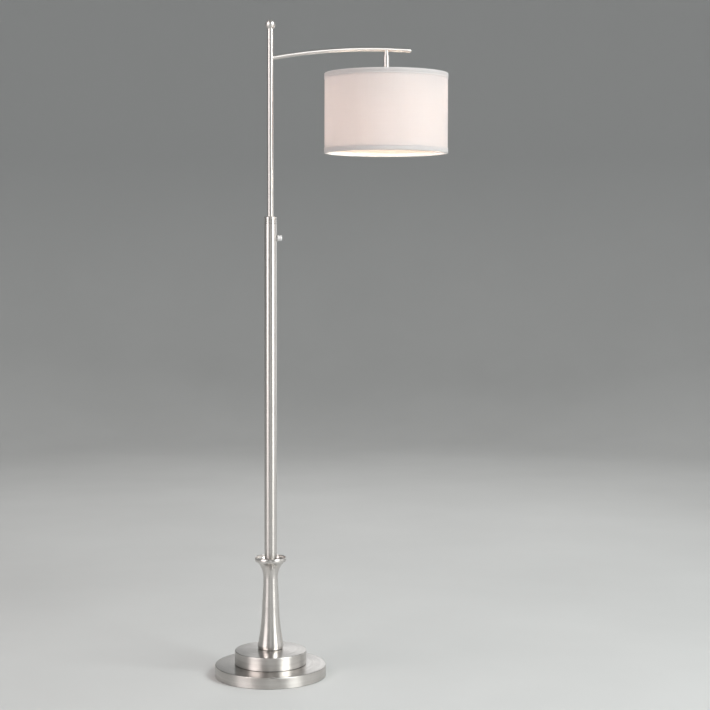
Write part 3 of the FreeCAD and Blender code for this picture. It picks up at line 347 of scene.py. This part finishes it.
metal("bulb_aluminium", (0.77, 0.77, 0.78), (0.68, 0.68, 0.7), 0.32, axis=SHADE_AXIS)
cast("cast_iron", (0.12, 0.115, 0.11), (0.05, 0.048, 0.046))
felt("felt", (0.035, 0.035, 0.038), (0.015, 0.015, 0.017))
plastic("black_rubber", (0.022, 0.021, 0.02), (0.012, 0.012, 0.012), 0.62)
plastic("nylon", (0.72, 0.71, 0.66), (0.62, 0.61, 0.56), 0.42)
plastic("white_enamel", (0.82, 0.81, 0.78), (0.74, 0.73, 0.7), 0.3, 160.0, 0.00004)
plastic("insulating_board", (0.42, 0.3, 0.17), (0.3, 0.2, 0.11), 0.75, 500.0, 0.00005)
plastic("phenolic", (0.022, 0.017, 0.014), (0.012, 0.009, 0.008), 0.28)
glowing_glass("frosted_glass", (1.0, 0.95, 0.88), BULB_STRENGTH)
cloth("shade_cloth", (0.94, 0.925, 0.91), (0.9, 0.88, 0.86), 0.44)
# The trims are the shade's own cloth in a lighter, warmer copy: that difference is painted light, standing
# in for the warm glow the folded band lets through less.
cloth("trim_cloth", (0.96, 0.93, 0.915), (0.92, 0.89, 0.87), 0.33)
liner_sheet("opal_liner", (0.88, 0.8, 0.66), (0.85, 0.77, 0.63), 0.78, (1.0, 0.965, 0.945))


def paint(thing, look):
    thing.data.materials.clear()
    thing.data.materials.append(looks[look])


OWN_LOOKS = {
    "arm": "satin_nickel_arm_painted_lighter",
    "arm_tip": "satin_nickel_arm_painted_lighter",
    "stem_neck": "satin_nickel_stem",
    "stem_tube": "satin_nickel_stem",
    "socket_cap": "satin_nickel_stem",
    "ball_finial": "satin_nickel_ball",
    "clamp_knob": "knurled_nickel_painted_highlight",
}


def paint_the_frame():
    """Every CAD node gets the look of its slot in the record, or the one named for it above."""
    for part in frame["record"]["subparts"]:
        name = part["node"]
        paint(nodes[name], OWN_LOOKS.get(name, part["material_slot"]))


paint_the_frame()


# ---- sheets ----


SHARP_ANGLE = math.radians(40)


def new_mesh_object(name, vertices, faces, look):
    """A closed mesh, its faces turned outwards and smooth but for its sharp edges."""
    mesh = bpy.data.meshes.new(name)
    mesh.from_pydata(vertices, [], faces)
    mesh.validate()
    edit = bmesh.new()
    edit.from_mesh(mesh)
    bmesh.ops.recalc_face_normals(edit, faces=edit.faces)
    edit.to_mesh(mesh)
    edit.free()
    mesh.shade_smooth()
    mesh.set_sharp_from_angle(angle=SHARP_ANGLE)
    made = bpy.data.objects.new(name, mesh)
    bpy.context.scene.collection.objects.link(made)
    paint(made, look)
    return made


def around(axis, radius, angle, height):
    """A point at that distance and bearing from a vertical axis."""
    return (axis.x + radius * math.cos(angle), axis.y + radius * math.sin(angle), height)


def ring_faces(rows, turns):
    """Faces between each ring of points and the next. rows holds the number of each ring's first point."""
    faces = []
    for here, there in zip(rows, rows[1:]):
        for turn in range(turns):
            after = (turn + 1) % turns
            faces.append((here + turn, there + turn, there + after, here + after))
    return faces


def turned_sheet(name, outline, turns, axis, look, change=None):
    """A closed ring: outline is a closed loop of (radius, height), and change may move each point."""
    vertices = []
    for step in range(turns):
        angle = TURN * step / turns
        for radius, height in outline:
            if change:
                radius, height = change(angle, radius, height)
            vertices.append(around(axis, radius, angle, height))
    count = len(outline)
    faces = []
    for step in range(turns):
        here, there = step * count, (step + 1) % turns * count
        for index in range(count):
            after = (index + 1) % count
            faces.append((here + index, there + index, there + after, here + after))
    return new_mesh_object(name, vertices, faces, look)


def spaced(start, end, count):
    """count points from start towards end, end left out."""
    return [tuple(a + (b - a) * step / count for a, b in zip(start, end)) for step in range(count)]


def rounded_corner(centre, radius, first, last, steps=4):
    """Points on an arc in the outline's plane, from the first to the last angle, in degrees."""
    points = []
    for step in range(steps + 1):
        angle = math.radians(first + (last - first) * step / steps)
        points.append((centre[0] + radius * math.cos(angle), centre[1] + radius * math.sin(angle)))
    return points


SHADE_TURNS = 320

# The cloth's overlap: its middle's bearing and its width, both as angles, how far it stands out, and the
# share of its width over which one edge slopes up.
SEAM_ANGLE = math.radians(-23)
SEAM_WIDTH = math.radians(13.5)
SEAM_RISE = 0.00045
SEAM_SLOPE = 0.12

# Thicknesses, and how far the liner stays behind the cloth and inside its edges.
CLOTH = 0.00045
LINER = 0.0005
LINER_GAP = 0.00005
LINER_INSET = 0.0004
CLOTH_WAVE = 0.0001

# A trim's thickness, its bends, its clearance, and how high it runs up inside the shade.
TRIM = 0.0006
TRIM_BEND = 0.0003
TRIM_CLEARANCE = 0.0001
TRIM_INSIDE = 0.0075

# The stitched groove round a trim's outer face: its distance from the shade's edge, its depth, and half its
# width at the face and at its floor.
TRIM_GROOVE = 0.0085
GROOVE_DEPTH = 0.0002
GROOVE_LIP = 0.0007
GROOVE_FLOOR = 0.0003

# How unevenly a trim lies: slow waves and quick ripples, on its outer face and on its loose inner edge.
FACE_WAVE = 0.00015
FACE_RIPPLE = 0.00006
EDGE_LIFT = 0.0002
EDGE_WAVE = 0.00025
EDGE_RIPPLE = 0.0012


def seam_rise(angle):
    """How far the cloth's overlap stands out: a flap with one crisp folded edge, and one that slopes."""
    offset = (angle - SEAM_ANGLE + math.pi) % TURN - math.pi
    share = offset / SEAM_WIDTH + 0.5
    if share < -SEAM_SLOPE or share > 1.0:
        return 0.0
    if share < 0.0:
        return SEAM_RISE * (share + SEAM_SLOPE) / SEAM_SLOPE
    return SEAM_RISE


def unevenness(angle, height, across, up, start=0.0):
    """Smooth noise on a ring, between -1 and 1. across and up set how fast it changes."""
    return noise.noise(Vector((math.cos(angle) * across, math.sin(angle) * across, height * up + start)))


def make_shade():
    """The cloth cover and the opal liner inside it, both as tall as the drum, and the two trims."""
    low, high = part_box("shade_drum")
    outside = (high.x - low.x) / 2
    inner = outside - CLOTH
    edge = CLOTH / 2

    def cloth_wall(angle, radius, height):
        """The wall's outer face is uneven and carries the seam."""
        if radius < outside - CLOTH * 0.75:
            return radius, height
        wave = unevenness(angle, height, 3, 14)
        return radius - CLOTH * 0.35 + seam_rise(angle) + wave * CLOTH_WAVE, height

    outline = spaced((outside, low.z + edge), (outside, high.z - edge), 40)
    outline += rounded_corner((outside - edge, high.z - edge), edge, 0, 180)
    outline += spaced((inner, high.z - edge), (inner, low.z + edge), 12)[1:]
    outline += rounded_corner((outside - edge, low.z + edge), edge, 180, 360)[:-1]
    cover = turned_sheet("shade_cover", outline, SHADE_TURNS, SHADE_AXIS, "shade_cloth", cloth_wall)

    back = inner - LINER_GAP
    front = back - LINER
    top, foot = high.z - LINER_INSET, low.z + LINER_INSET
    outline = spaced((back, foot), (back, top), 8) + spaced((back, top), (front, top), 2)
    outline += spaced((front, top), (front, foot), 24) + spaced((front, foot), (back, foot), 2)
    liner = turned_sheet("shade_liner", outline, SHADE_TURNS, SHADE_AXIS, "opal_liner")

    trims = [make_trim("shade_trim_top", high.z, -1), make_trim("shade_trim_bottom", low.z, 1)]
    for piece in (cover, liner, *trims):
        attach(piece, "arm_head")
    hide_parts("shade_drum")
    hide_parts("shade_drum")


def make_trim(node, edge, way):
    """A band of the shade's cloth, folded softly over an edge of the shade and its wire ring.

    way is 1 where the band runs up from the edge, or -1."""
    low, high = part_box(node)
    fold, head = (low.z, high.z) if way > 0 else (high.z, low.z)
    outside = (high.x - low.x) / 2
    ring_low, ring_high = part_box("shade_bottom_ring")
    wire = (ring_high.z - ring_low.z) / 2
    inside = (ring_high.x - ring_low.x) / 2 - 2 * wire - TRIM_CLEARANCE

    def band(angle, radius, height):
        """The outer face follows the seam and waves a little. The loose inner edge waves more."""
        wave = unevenness(angle, height, 5, 40, 7)
        ripple = unevenness(angle, height, 30, 9)
        if radius > outside - TRIM * 1.1:
            return radius + seam_rise(angle) + FACE_WAVE * wave + FACE_RIPPLE * ripple, height
        if radius < inside:
            return radius - EDGE_LIFT + EDGE_WAVE * wave, height + way * EDGE_RIPPLE * ripple
        return radius, height

    wall = outside - TRIM
    inner_face = inside - TRIM
    inner_edge = edge + way * TRIM_INSIDE
    bend = TRIM_BEND * 2
    bend_height = fold + way * bend
    head_inside = (wall, head - way * TRIM_CLEARANCE)
    groove = edge + way * TRIM_GROOVE
    groove_face = outside - GROOVE_DEPTH

    outline = spaced((wall, edge), (inside, edge), 3)
    outline += spaced((inside, edge), (inside, inner_edge), 5)
    outline += rounded_corner((inside - TRIM / 2, inner_edge), TRIM / 2, 0, 180 * way, 6)
    outline += spaced((inner_face, inner_edge), (inner_face, fold + way * TRIM_BEND), 5)[1:]
    outline += rounded_corner((inner_face + bend, bend_height), bend, 180, 180 + 90 * way, 4)
    outline += spaced((inside, fold), (outside - bend, fold), 4)[1:]
    outline += rounded_corner((outside - bend, bend_height), bend, 180 + 90 * way, 180 + 180 * way, 4)
    outline += [(outside, groove - way * GROOVE_LIP), (groove_face, groove - way * GROOVE_FLOOR)]
    outline += [(groove_face, groove + way * GROOVE_FLOOR), (outside, groove + way * GROOVE_LIP)]
    outline += rounded_corner((outside - TRIM_BEND, head - way * TRIM_BEND), TRIM_BEND, 0, 90 * way, 3)
    outline += [head_inside] + spaced(head_inside, (wall, edge), 5)[1:]
    piece = turned_sheet(node + "_cloth", outline, SHADE_TURNS, SHADE_AXIS, "trim_cloth", band)
    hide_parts(node)
    return piece


PAD_FLUFF = 0.0004


def make_foot_pad():
    """A die-cut disc of wool felt, its edge rounded and fluffed out a little."""
    low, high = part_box("foot_pad")
    outside, thick = (high.x - low.x) / 2, high.z - low.z
    turns, rings = 160, 14
    vertices = [(0, 0, high.z), (0, 0, low.z)]
    rows = []
    profile = [(outside * (step + 1) / rings, high.z) for step in range(rings - 1)]
    profile += rounded_corner((outside - thick / 2, low.z + thick / 2), thick / 2, 90, -90, 8)
    profile += [(outside * (rings - 1 - step) / rings, low.z) for step in range(rings - 1)]
    for radius, height in profile:
        rows.append(len(vertices))
        for step in range(turns):
            angle = TURN * step / turns
            fluff = PAD_FLUFF * unevenness(angle, height, 40, 900) if radius > outside - thick else 0.0
            vertices.append(around(STAND_AXIS, radius + fluff, angle, height))
    faces = ring_faces(rows, turns)
    for step in range(turns):
        after = (step + 1) % turns
        faces.append((0, rows[0] + step, rows[0] + after))
        faces.append((1, rows[-1] + after, rows[-1] + step))
    pad = new_mesh_object("felt_pad", vertices, faces, "felt")
    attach(pad, "stand")
    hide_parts("foot_pad")


make_shade()
make_foot_pad()


# ---- floor and light ----


STUDIO_RADIUS = 6.4
STUDIO_BEND = 2.0
STUDIO_HEIGHT = 4.6

# The floor's two pale greys, and the backdrop's grey, which they turn into up to this height.
GROUND = (0.66, 0.66, 0.65)
GROUND_PALER = (0.7, 0.7, 0.69)
BACKDROP = (0.48, 0.485, 0.485)
BACKDROP_FULL_AT = 1.6


def make_floor():
    """A pale plain round floor that rises all round into a plain backdrop."""
    turns, steps = 96, 12
    flat = STUDIO_RADIUS - STUDIO_BEND
    line = [(flat * share, 0.0) for share in (0.25, 0.5, 0.75, 1.0)]
    for step in range(1, steps + 1):
        angle = math.pi / 2 * step / steps
        line.append((flat + STUDIO_BEND * math.sin(angle), STUDIO_BEND * (1 - math.cos(angle))))
    line.append((STUDIO_RADIUS, STUDIO_HEIGHT))
    vertices = [(0.0, 0.0, 0.0)]
    for radius, height in line:
        vertices += [around(STAND_AXIS, radius, TURN * turn / turns, height) for turn in range(turns)]
    faces = [(0, 1 + turn, 1 + (turn + 1) % turns) for turn in range(turns)]
    faces += ring_faces([1 + row * turns for row in range(len(line))], turns)
    mesh = bpy.data.meshes.new("studio_floor")
    mesh.from_pydata(vertices, [], faces)
    mesh.shade_smooth()
    floor = bpy.data.objects.new("studio_floor", mesh)
    bpy.context.scene.collection.objects.link(floor)
    recipe = Recipe("pale_floor")
    cloud = recipe.noise(recipe.position(), 1.4, 3.0)
    grain = recipe.noise(recipe.position(), 160.0, 3.0)
    ground = recipe.blend(recipe.spread(cloud, 0.0, 1.0), GROUND, GROUND_PALER)
    rise = recipe.spread(recipe.parts_of(recipe.position())[2], 0.0, 1.0, 0.0, BACKDROP_FULL_AT)
    recipe.surface(
        Base_Color=recipe.blend(rise, ground, BACKDROP),
        Roughness=recipe.spread(grain, 0.62, 0.72),
        Specular_IOR_Level=0.04,
        Normal=recipe.bump(grain, 0.0001),
    )
    paint(floor, "pale_floor")


def softbox(name, bearing, distance, height, size, radiance, colour=(1, 1, 1), aim=(0.1, 0.0, 0.9)):
    """A rectangle of light that points at aim. bearing is counted from -Y towards +X, in degrees."""
    turn = math.radians(bearing)
    place = Vector((aim[0] + distance * math.sin(turn), -distance * math.cos(turn), height))
    data = bpy.data.lights.new(name, "AREA")
    data.shape = "RECTANGLE"
    data.size, data.size_y = size
    data.energy = radiance * math.pi * size[0] * size[1]
    data.color = colour
    lamp = bpy.data.objects.new(name, data)
    lamp.location = place
    lamp.rotation_euler = (Vector(aim) - place).to_track_quat("-Z", "Y").to_euler()
    lamp.visible_camera = False
    bpy.context.scene.collection.objects.link(lamp)
    return lamp


LOW_BOX_DISTANCE = 3.4
LOW_BOX_MIDDLE = 1.5
LOW_BOX_HEIGHT = 2.9
AMBIENT = 0.22


def make_light():
    """High boxes light the lamp and the floor. Low ones are only what the metal mirrors."""
    softbox("box_key", 57, 3.3, 3.5, (2.4, 2.0), 9.6, (0.94, 1.0, 1.0), (0.28, 0.0, 1.2))
    softbox("box_fill", -52, 3.3, 3.5, (2.4, 2.0), 4.2, (1.0, 0.94, 0.93), (0.2, 0.0, 1.2))
    behind = softbox("box_behind", 176, 3.6, 3.3, (3.2, 2.0), 2.4, (1.0, 0.99, 0.98), (0.2, 0.0, 1.2))
    behind.visible_glossy = False
    for name, bearing, width, radiance, colour in (
        ("box_left", -54, 2.1, 2.05, (1.0, 0.93, 0.925)),
        ("box_right", 53, 1.7, 2.7, (1.0, 0.99, 0.95)),
        ("box_front", 2, 1.0, 0.5, (1.0, 1.0, 1.0)),
        ("box_side", 96, 2.6, 0.75, (1.0, 0.99, 0.975)),
    ):
        size = (width, LOW_BOX_HEIGHT)
        low_box = softbox(name, bearing, LOW_BOX_DISTANCE, LOW_BOX_MIDDLE, size, radiance, colour)
        low_box.visible_diffuse = False
    back = softbox("box_back", 159, 2.9, 0.95, (3.2, 1.5), 0.8, aim=(0.1, 0.0, 0.2))
    back.visible_diffuse = False
    world = bpy.data.worlds.new("studio")
    world.use_nodes = True
    background = world.node_tree.nodes["Background"]
    background.inputs["Color"].default_value = (1, 1, 1, 1)
    background.inputs["Strength"].default_value = AMBIENT
    bpy.context.scene.world = world
    bpy.context.scene.view_settings.view_transform = "Standard"


make_floor()
make_light()
